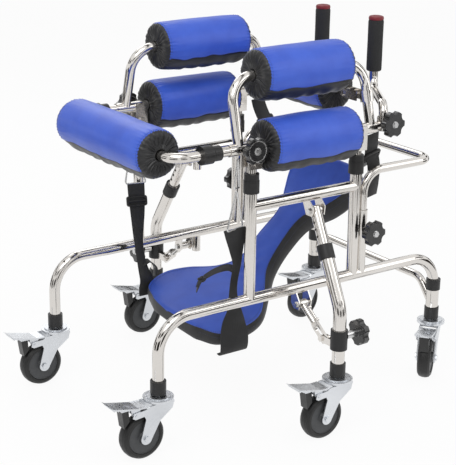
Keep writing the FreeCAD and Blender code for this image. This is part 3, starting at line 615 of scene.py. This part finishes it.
upper_seams, back_seams = [], []
for index, (name, side) in enumerate(SIDES.items()):
    upper_seams += cushion(f"arm_cover_{name}", f"arm_cushion_{name}", "upper_frame",
                           (-0.088, side * 0.223, 0.630),
                           (0.154, side * 0.223, 0.630), 0.056, 0.0128, 3 + index, 0.004, -0.24)
    upper_seams += cushion(f"arch_cover_{name}", f"arch_cushion_{name}", "upper_frame",
                           (-0.088, side * 0.188, 0.772),
                           (0.154, side * 0.188, 0.772), 0.0545, 0.0113, 7 + index, 0.004, -0.3)
upper_seams += cushion("chest_cover", "chest_cushion", "upper_frame", (0.2, -0.12, 0.698), (0.2, 0.12, 0.698),
                       0.053, 0.0093, 12, 0.002, 0.0)
back_seams += cushion("back_cover", "back_cushion", "back_rest", (-0.305, -0.177, 0.630),
                      (-0.305, 0.177, 0.630),
                      0.0515, 0.0109, 15, 0.0075, 0.12)


# ------------------------------------------------------------------ seam stitches
# Lockstitch along each sleeve's seams, in thread a little lighter than the cloth.
def stitch_tree():
    """Small rounded stitches laid end to end along the edges of a wire mesh."""
    tree = bpy.data.node_groups.new("lockstitch", "GeometryNodeTree")
    tree.interface.new_socket("Geometry", in_out="INPUT", socket_type="NodeSocketGeometry")
    for label, value in (("Pitch", 0.004), ("Stitch Length", 0.0029), ("Thread Width", 0.0006)):
        tree.interface.new_socket(label, in_out="INPUT", socket_type="NodeSocketFloat").default_value = value
    tree.interface.new_socket("Thread", in_out="INPUT", socket_type="NodeSocketMaterial")
    tree.interface.new_socket("Geometry", in_out="OUTPUT", socket_type="NodeSocketGeometry")
    inside = node(tree, "NodeGroupInput")
    line = node(tree, "GeometryNodeMeshToCurve", None, {"Mesh": inside.outputs["Geometry"]})
    spots = node(tree, "GeometryNodeCurveToPoints", {"mode": "LENGTH"},
                 {"Curve": line.outputs[0], "Length": inside.outputs["Pitch"]})
    size = node(tree, "ShaderNodeCombineXYZ", None,
                {0: inside.outputs["Thread Width"], 1: inside.outputs["Thread Width"],
                                                     2: inside.outputs["Stitch Length"]})
    bead = node(tree, "GeometryNodeMeshUVSphere", None, {"Segments": 6, "Rings": 4, "Radius": 0.5})
    laid = node(tree, "GeometryNodeInstanceOnPoints", None,
                {"Points": spots.outputs["Points"], "Instance": bead.outputs["Mesh"],
                 "Rotation": spots.outputs["Rotation"], "Scale": size.outputs[0]})
    real = node(tree, "GeometryNodeRealizeInstances", None, {"Geometry": laid.outputs[0]})
    painted = node(tree, "GeometryNodeSetMaterial", None, {"Geometry": real.outputs[0],
                                                           "Material": inside.outputs["Thread"]})
    node(tree, "NodeGroupOutput", None, {"Geometry": painted.outputs[0]})
    return tree


lockstitch = stitch_tree()


def thread_finish(name, dark, light):
    """Twisted thread."""
    material, tree, bsdf, place = new_finish(name, light, Roughness=0.6, Sheen_Weight=0.2)
    twist = node(tree, "ShaderNodeTexNoise", None, {"Vector": place, "Scale": 900.0})
    add_tone(tree, bsdf, twist.outputs[0], dark, light)
    return material


def stitches(name, lines, body, thread, pitch=0.004, length=0.0029, width=0.0006):
    """Stitches along these lines, as one plain mesh that rides on the body."""
    points, edges = [], []
    for line in lines:
        first = len(points)
        points += [tuple(p) for p in line]
        edges += [(k, k + 1) for k in range(first, len(points) - 1)]
    mesh = bpy.data.meshes.new(name + "_path")
    mesh.from_pydata(points, edges, [])
    piece = bpy.data.objects.new(name, mesh)
    bpy.context.scene.collection.objects.link(piece)
    maker = piece.modifiers.new("stitch", "NODES")
    maker.node_group = lockstitch
    values = {"Pitch": pitch, "Stitch Length": length, "Thread Width": width, "Thread": thread}
    for socket in lockstitch.interface.items_tree:
        if socket.in_out == "INPUT" and socket.name in values:
            maker[socket.identifier] = values[socket.name]
    made = bpy.data.meshes.new_from_object(piece.evaluated_get(bpy.context.evaluated_depsgraph_get()))
    piece.modifiers.clear()
    piece.data = made
    made.name = name
    made.polygons.foreach_set("use_smooth", [True] * len(made.polygons))
    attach(piece, body)
    return piece


dark_thread = thread_finish("dark_thread", (0.012, 0.016, 0.06), (0.03, 0.04, 0.13))
stitches("upper_cover_stitches", upper_seams, "upper_frame", dark_thread)
stitches("back_cover_stitches", back_seams, "back_rest", dark_thread)


# ------------------------------------------------------------------ handle grips
# Black foam grips pushed over the handle tubes, each closed by a dark red moulded cap.
def lathe(name, outline, place, materials, slots, steps=48, sharp=40):
    """Turned piece about a vertical line; outline runs (radius, height) from the bottom to the top pole."""
    points = []
    for r, z in outline:
        points += [Vector((place[0] + r * math.cos(2 * math.pi * k / steps),
                           place[1] + r * math.sin(2 * math.pi * k / steps), z))
                   for k in range(steps)]
    faces, cells = strip_faces(len(outline), steps)
    face_slots = [slots[corners[0][0]] for corners in cells]
    pole = len(points)
    points.append(Vector((place[0], place[1], outline[-1][1])))
    last = (len(outline) - 1) * steps
    faces += [(last + k, last + (k + 1) % steps, pole) for k in range(steps)]
    face_slots += [slots[-1]] * steps
    return mesh_piece(name, points, faces, materials, face_slots, sharp=sharp)


foam_black, tree, bsdf, place = new_finish("foam_black", (0.018, 0.018, 0.019), Roughness=0.78)
pores = node(tree, "ShaderNodeTexVoronoi", None, {"Vector": place, "Scale": 900.0})
add_tone(tree, bsdf, pores.outputs["Distance"], (0.006, 0.006, 0.007), (0.03, 0.03, 0.031))
add_bump(tree, bsdf, pores.outputs["Distance"], 0.5, 0.0005)
cap_red, tree, bsdf, place = new_finish("cap_red", (0.20, 0.012, 0.02), Roughness=0.42)
cap_tone = node(tree, "ShaderNodeTexNoise", None, {"Vector": place, "Scale": 70.0, "Detail": 4.0})
add_tone(tree, bsdf, cap_tone.outputs[0], (0.13, 0.008, 0.014), (0.27, 0.016, 0.028))
add_bump(tree, bsdf, cap_tone.outputs[0], 0.2, 0.0004)
grip_low = 0.723
grip_outline = [(0.0103, 0.0), (0.0150, 0.0), (0.0168, 0.0012), (0.0175, 0.0040), (0.0176, 0.035),
                (0.0174, 0.07),
                (0.0176, 0.112), (0.0170, 0.1155), (0.0160, 0.1163), (0.0166, 0.1168), (0.0172, 0.1180),
                (0.0172, 0.1215), (0.0160, 0.1244), (0.0120, 0.1256), (0.0060, 0.1260)]
for name, side in SIDES.items():
    outline = [(r, grip_low + z) for r, z in grip_outline]
    grip = lathe(f"grip_{name}", outline, (0.326, side * 0.095), [foam_black, cap_red], [0] * 9 + [1] * 6)
    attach(grip, f"handle_{name}")
    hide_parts(f"handle_grip_{name}")


# ------------------------------------------------------------------ seat
# The sling seat: a thin upholstered pad, broad behind, narrow between the legs and broad again
# in front, in blue cloth with a black side band sewn round its edge.
def through(points, per_step):
    """Smooth run through the points, each a list of numbers."""
    points = [np.array(p, float) for p in points]
    run = []
    padded_points = [2 * points[0] - points[1]] + points + [2 * points[-1] - points[-2]]
    for a, b, c, d in zip(padded_points, padded_points[1:], padded_points[2:], padded_points[3:]):
        for k in range(per_step):
            t = k / per_step
            run.append(0.5 * (2 * b + (c - a) * t + (2 * a - 5 * b + 4 * c - d) * t * t
                              + (3 * b - a - 3 * c + d) * t ** 3))
    run.append(points[-1])
    return run


seat_stations = [(-0.154, 0.204, 0.096, 2, 4, 0.034), (-0.132, 0.208, 0.148, 4, 5, 0.034),
                 (-0.080, 0.220, 0.160, 8, 7, 0.034), (-0.020, 0.230, 0.142, 14, 7, 0.034),
                 (0.028, 0.250, 0.092, 32, 4, 0.036), (0.066, 0.284, 0.054, 46, 0, 0.040),
                 (0.110, 0.334, 0.046, 46, 0, 0.044), (0.166, 0.384, 0.046, 40, 0, 0.050),
                 (0.212, 0.418, 0.084, 40, 0, 0.054), (0.244, 0.450, 0.108, 46, 0, 0.054),
                 (0.266, 0.478, 0.110, 54, 0, 0.048), (0.280, 0.500, 0.092, 58, 0, 0.040)]
seat_top_points = 40     # points across the blue top
seat_side_points = 8
seat_under_points = 20
band_in = 0.004          # the blue top's edge in from the band
crown_height = 0.0045    # of the top's middle over its edges
band_bulge = 0.0045
neck_fold = (0.055, 0.035, 0.0016)   # place, reach and height of the folds at the neck
seat_round = seat_top_points + 2 * seat_side_points + seat_under_points
seat_blue = cloth("seat_blue", (0.026, 0.078, 0.46), (0.042, 0.118, 0.60), 2200.0, 0.5, 0.00015, 0.15)
band_black = cloth("band_black", (0.007, 0.007, 0.008), (0.026, 0.026, 0.028), 1500.0, 0.55, 0.0003, 0.15)
run = through(seat_stations, 7)
inset_steps = [(0.30, 0.62, 0.0062), (0.72, 0.88, 0.0048), (0.92, 0.97, 0.0022)]
seat_rings = []
for index, (x, z, half, slope, tilt, deep) in enumerate(run):
    slope, tilt = math.radians(slope), math.radians(tilt)
    up = Vector((-math.sin(slope), 0, math.cos(slope)))
    across = (Vector((0, 1, 0)) * math.cos(tilt) + up * math.sin(tilt)).normalized()
    up = (up * math.cos(tilt) - Vector((0, 1, 0)) * math.sin(tilt)).normalized()
    ahead = Vector((math.cos(slope), 0, math.sin(slope)))
    rows = [(1.0, 1.0, 0.0)]
    if index == 0:
        rows = [(a, b, -c) for a, b, c in inset_steps] + rows
    if index == len(run) - 1:
        rows = rows + inset_steps[::-1]
    for spread, thick, reach in rows:
        ring = []
        width = half * spread
        r = deep / 2 * thick
        middle = Vector((x, 0, z)) - up * (deep / 2) + ahead * reach
        for k in range(seat_round):
            if k < seat_top_points:
                share = -1 + 2 * k / (seat_top_points - 1)
                y = share * (width - band_in)
                crown = crown_height * (1 - share ** 4)
                z_off = r - 0.0035 + crown + (0.0012 if abs(share) > 0.97 else 0.0)
                near = math.exp(-((x - neck_fold[0]) / neck_fold[1]) ** 2)
                fold = near * neck_fold[2] * math.sin(x * 260 + 6 * share)
                z_off += fold * (1 - share * share) + 0.0011 * noise.noise(Vector((x * 18, y * 18,
                                                                                   2.0))) * thick
            elif k < seat_top_points + seat_side_points:
                turn = (k - seat_top_points + 0.5) / seat_side_points
                y = width - band_in + band_bulge * math.sin(math.pi * turn) ** 0.6
                z_off = (r - 0.0045) * (1 - 2 * turn)
            elif k < seat_top_points + seat_side_points + seat_under_points:
                share = (k - seat_top_points - seat_side_points + 0.5) / seat_under_points
                y = (1 - 2 * share) * (width - 0.003)
                z_off = -r - 0.0015 * math.cos(math.pi * (1 - 2 * share) / 2)
            else:
                turn = (k - seat_round + seat_side_points + 0.5) / seat_side_points
                y = -(width - band_in + band_bulge * math.sin(math.pi * turn) ** 0.6)
                z_off = (r - 0.0045) * (-1 + 2 * turn)
            ring.append(middle + across * y + up * z_off)
        seat_rings.append(ring)
seat_points = [p for ring in seat_rings for p in ring]
faces, cells = strip_faces(len(seat_rings), seat_round, flip=True)
slots = []
cloth_map = []
for corners in cells:
    column = min(b for a, b in corners)
    slots.append(0 if column < seat_top_points - 1 else 1)
    cloth_map.append([(seat_points[a * seat_round + b % seat_round].x * 1.2,
                       seat_points[a * seat_round + b % seat_round].y)
                      for a, b in corners])
for row, order in ((0, 1), (len(seat_rings) - 1, -1)):
    pole = len(seat_points)
    ring = [row * seat_round + k for k in range(seat_round)]
    seat_points.append(sum((seat_points[k] for k in ring), Vector()) / seat_round)
    for k in range(seat_round):
        corners = (ring[k], ring[(k + 1) % seat_round], pole)
        faces.append(corners if order > 0 else corners[::-1])
        slots.append(1)
        cloth_map.append([(seat_points[c].x, seat_points[c].y) for c in faces[-1]])
seat = mesh_piece("seat_pad", seat_points, faces, [seat_blue, band_black], slots, cloth_map, sharp=55)
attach(seat, "upper_frame")
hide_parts("seat_sling")
edge_lines = []
for column in (1, seat_top_points - 2):
    edge_lines.append([seat_rings[row][column] + Vector((0, 0, 0.0006))
                       for row in range(3, len(seat_rings) - 3)])
for column in (seat_top_points + 2, seat_round - 3):
    edge_lines.append([seat_rings[row][column] for row in range(3, len(seat_rings) - 3)])
stitches("seat_stitches", edge_lines, "upper_frame", dark_thread, 0.005, 0.0036, 0.0008)


# ------------------------------------------------------------------ webbing straps
# Black nylon webbing: at the back from a wire triangle down to the seat's corners, the right one folded
# and spread into a band round the edge; at the front from the arms to the seat's upper corners.
web_black = cloth("web_black", (0.006, 0.006, 0.007), (0.02, 0.02, 0.021), 1100.0, 0.6, 0.0006, 0.2)


def ribbon(name, path, thick=0.0022, per_step=8):
    """Flat strap through (point, width direction, width), rounded at its edges; returns its edge lines too."""
    run = through([[*p, *(Vector(d).normalized()), w] for p, d, w in path], per_step)
    section = [(-0.5, -0.22), (-0.47, -0.5), (0, -0.5), (0.47, -0.5), (0.5, -0.22), (0.5, 0.22), (0.47, 0.5),
               (0, 0.5),
               (-0.47, 0.5), (-0.5, 0.22)]
    points, edges, measure, travelled = [], [[], []], [], 0.0
    for k, row in enumerate(run):
        here = Vector(row[:3])
        ahead = (Vector(run[min(k + 1, len(run) - 1)][:3]) - Vector(run[max(k - 1, 0)][:3])).normalized()
        wide = Vector(row[3:6])
        wide = (wide - ahead * wide.dot(ahead)).normalized()
        flat = ahead.cross(wide)
        travelled += (here - Vector(run[max(k - 1, 0)][:3])).length
        measure.append(travelled)
        points += [here + wide * (a * row[6]) + flat * (b * thick) for a, b in section]
        for line, sign in zip(edges, (-1, 1)):
            line.append(here + wide * (sign * 0.4 * row[6]) - flat * (thick * 0.52))
    count = len(section)
    faces, cells = strip_faces(len(run), count)
    cloth_map = [[(measure[a], section[b % count][0] * 0.04) for a, b in corners] for corners in cells]
    faces += [tuple(range(count))[::-1], tuple((len(run) - 1) * count + k for k in range(count))]
    cloth_map += [[(0, 0)] * count, [(0, 0)] * count]
    piece = mesh_piece(name, points, faces, [web_black], None, cloth_map, sharp=50)
    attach(piece, "upper_frame")
    return piece, edges


level = (1, 0, 0)
facing = (1, -0.3, 0)
back_right = [((-0.139, -0.206, 0.454), facing, 0.050), ((-0.134, -0.202, 0.432), facing, 0.043),
              ((-0.127, -0.196, 0.400), facing, 0.030), ((-0.120, -0.189, 0.365), facing, 0.019),
              ((-0.122, -0.182, 0.325), facing, 0.017), ((-0.120, -0.177, 0.290), facing, 0.020),
              ((-0.112, -0.171, 0.252), facing, 0.034), ((-0.112, -0.169, 0.222), level, 0.062),
              ((-0.113, -0.1740, 0.197), level, 0.073), ((-0.113, -0.1755, 0.172), level, 0.074),
              ((-0.113, -0.171, 0.1555), level, 0.073), ((-0.113, -0.160, 0.1550), level, 0.072)]
strap_right, edges_right = ribbon("back_strap_right", back_right)
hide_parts("sling_straps")
back_left = [((-0.132, 0.202, 0.454), (1, -0.25, 0), 0.042), ((-0.134, 0.195, 0.420), (1, -0.25, 0), 0.040),
             ((-0.136, 0.188, 0.380), (1, -0.25, 0), 0.034), ((-0.139, 0.181, 0.330), (1, -0.3, 0), 0.024),
             ((-0.140, 0.172, 0.290), facing, 0.020), ((-0.138, 0.162, 0.256), facing, 0.024),
             ((-0.134, 0.153, 0.230), level, 0.036), ((-0.133, 0.1545, 0.208), level, 0.042),
             ((-0.133, 0.1535, 0.190), level, 0.042)]
_, edges_left = ribbon("back_strap_left", back_left)
band_lines = edges_right + edges_left

# Loose tail of the right strap, tied off in a knot, and the folded end at the left corner.
tail = [((-0.121, -0.186, 0.352), (0.2, 0.3, 1), 0.016), ((-0.135, -0.176, 0.358), (0, 0.5, 1), 0.015),
        ((-0.158, -0.164, 0.351), (-0.2, 0.8, 0.7), 0.013), ((-0.180, -0.154, 0.338), (-0.2, 1, 0.4), 0.011)]
ribbon("strap_tail", tail, 0.0018)
knot_at = Vector((-0.184, -0.152, 0.334))
knot_points, knot_sides, knot_steps, knot_size = [], 8, 60, 0.0026


def knot_spot(k):
    """Place on the overhand knot's centre line."""
    t = 2 * math.pi * k / knot_steps
    return knot_at + Vector((math.sin(t) + 2 * math.sin(2 * t), math.cos(t) - 2 * math.cos(2 * t),
                             -math.sin(3 * t))) * knot_size


for k in range(knot_steps):
    centre = knot_spot(k)
    ahead = (knot_spot(k + 1) - centre).normalized()
    wide = ahead.cross(Vector((0.3, 0.2, 1))).normalized()
    flat = ahead.cross(wide)
    knot_points += oval(centre, wide, flat, 0.0032, 0.0026, knot_sides)
faces, cells = strip_faces(knot_steps, knot_sides, closed_rings=True)
cloth_map = [[(a * 0.001, b * 0.001) for a, b in corners] for corners in cells]
knot = mesh_piece("strap_knot", knot_points, faces, [web_black], None, cloth_map)
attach(knot, "upper_frame")
ribbon("strap_end", [((-0.185, -0.152, 0.333), (0.3, 1, 0), 0.010),
                     ((-0.192, -0.150, 0.320), (0.4, 1, 0), 0.012),
                     ((-0.196, -0.148, 0.306), (0.6, 1, 0), 0.011)], 0.0016)
ribbon("strap_end_b",
       [((-0.186, -0.154, 0.335), (0.3, 1, 0), 0.009), ((-0.196, -0.158, 0.331), (0.2, 1, 0.2), 0.010),
                       ((-0.203, -0.162, 0.322), (0, 1, 0.3), 0.009)], 0.0016)
ribbon("strap_fold_left",
       [((-0.138, 0.168, 0.262), (0, 1, 0.2), 0.018), ((-0.122, 0.163, 0.270), (0, 1, 0.2), 0.020),
                           ((-0.109, 0.155, 0.255), (0.1, 1, 0), 0.022),
        ((-0.113, 0.148, 0.236), (0.2, 1, 0), 0.022)], 0.002)

front_lines = []
for name, s in SIDES.items():
    path = [((0.226, s * 0.213, 0.612), (1, 0, 0.25), 0.038),
            ((0.230, s * 0.208, 0.590), (1, 0, 0.25), 0.038),
            ((0.238, s * 0.197, 0.562), (1, 0, 0.25), 0.038),
            ((0.246, s * 0.178, 0.540), (1, 0, 0.25), 0.037),
            ((0.256, s * 0.152, 0.518), (1, 0, 0.3), 0.036), ((0.265, s * 0.124, 0.500), (1, 0, 0.5), 0.036)]
    _, edges = ribbon(f"front_strap_{name}", path)
    front_lines += edges
    ribbon(f"front_strap_tail_{name}",
           [((0.240, s * 0.200, 0.560), (1, 0, 0.1), 0.036), ((0.243, s * 0.204, 0.530), (1, 0, 0.1), 0.036),
                                        ((0.246, s * 0.201, 0.492), (1, 0.1, 0.1), 0.036),
            ((0.248, s * 0.196, 0.462), (1, 0.2, 0), 0.035)])
grey_thread = thread_finish("grey_thread", (0.02, 0.02, 0.021), (0.06, 0.06, 0.062))
stitches("strap_stitches", band_lines + front_lines, "upper_frame", grey_thread, 0.0045, 0.0032, 0.0007)


# ------------------------------------------------------------------ strap links and sliders
# Bent plated wire hangs each back strap from the arm tube; moulded sliders set the straps' length.
def wire(name, corners, radius, round_off=0.25, sides=10):
    """Closed loop of round wire with rounded corners."""
    corners = [Vector(c) for c in corners]
    path = []
    for before, corner, after in zip(corners[-1:] + corners[:-1], corners, corners[1:] + corners[:1]):
        a = corner.lerp(before, round_off)
        b = corner.lerp(after, round_off)
        for k in range(7):
            t = k / 6
            path.append(a * (1 - t) ** 2 + corner * 2 * t * (1 - t) + b * t * t)
    normal = (corners[1] - corners[0]).cross(corners[2] - corners[1]).normalized()
    points = []
    for k, here in enumerate(path):
        ahead = (path[(k + 1) % len(path)] - path[k - 1]).normalized()
        out = ahead.cross(normal)
        points += oval(here, out, normal, radius, radius, sides)
    faces, _ = strip_faces(len(path), sides, closed_rings=True)
    piece = mesh_piece(name, points, faces, [plated])
    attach(piece, "upper_frame")
    return piece


def slider(name, middle, wide, down, size, wrap):
    """Moulded slider: a frame with a rounded outline and a bar across, lying on the strap."""
    middle, wide, down = Vector(middle), Vector(wide).normalized(), Vector(down).normalized()
    down = (down - wide * down.dot(wide)).normalized()
    out = wide.cross(down)
    outer, points = [], []
    for k in range(40):
        a = 2 * math.pi * k / 40
        c, q = math.cos(a), math.sin(a)
        outer.append((math.copysign(abs(c) ** 0.35, c), math.copysign(abs(q) ** 0.35, q)))
    half_w, half_d, band = size[0] / 2, size[1] / 2, 0.0045
    for level_out, grow in ((-wrap, 0.92), (-wrap * 0.6, 1.0), (wrap * 0.6, 1.0), (wrap, 0.92)):
        points += [middle + wide * (half_w * a * grow) + down * (half_d * b * grow) + out * level_out for a,
                   b in outer]
    for level_out in (wrap, wrap * 0.35, -wrap * 0.35, -wrap):
        points += [middle + wide * ((half_w - band) * a) + down * ((half_d - band) * b) + out * level_out
                   for a, b in outer]
    strips, _ = strip_faces(8, 40, closed_rings=True)
    piece = mesh_piece(name, points, strips, [collar_black], sharp=40)
    bar_points = []
    bar_path = [middle - wide * (half_w - band * 0.5), middle - wide * (half_w * 0.3),
                middle + wide * (half_w * 0.3),
                middle + wide * (half_w - band * 0.5)]
    for spot in bar_path:
        bar_points += oval(spot, down, out, 0.0034, wrap * 0.9, 10)
    bar_faces, _ = strip_faces(4, 10)
    bar_faces += [tuple(range(10))[::-1], tuple(30 + j for j in range(10))]
    bar = mesh_piece(name + "_bar", bar_points, bar_faces, [collar_black], sharp=60)
    for made in (piece, bar):
        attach(made, "upper_frame")


for name, s in SIDES.items():
    top = Vector((-0.139, -0.206, 0.452)) if s < 0 else Vector((-0.132, 0.202, 0.452))
    hook = Vector((-0.146, s * 0.223, 0.6145))
    middle = (hook + top) * 0.5 + Vector((0, 0, 0.012))
    wide = Vector((0.016, -s * 0.004, 0))
    link = wire(f"strap_link_{name}", [hook, middle + wide * 0.5, middle - wide * 0.5], 0.002, 0.12)
    if s < 0:
        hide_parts("sling_hardware")
    wire(f"strap_triangle_{name}", [middle - Vector((0, 0, 0.003)), top + wide * 1.55 + Vector((0, 0, 0.001)),
                                    top - wide * 1.55 + Vector((0, 0, 0.001))], 0.002, 0.1)
    slider(f"front_slider_{name}", (0.241, s * 0.1965, 0.556), (1, 0, 0.25), (0.1, -s * 0.5, -0.85),
           (0.048, 0.026), 0.004)
slider("back_slider_left", (-0.1345, 0.1935, 0.412), (1, -0.25, 0), (0, -0.25, -1), (0.050, 0.026), 0.004)
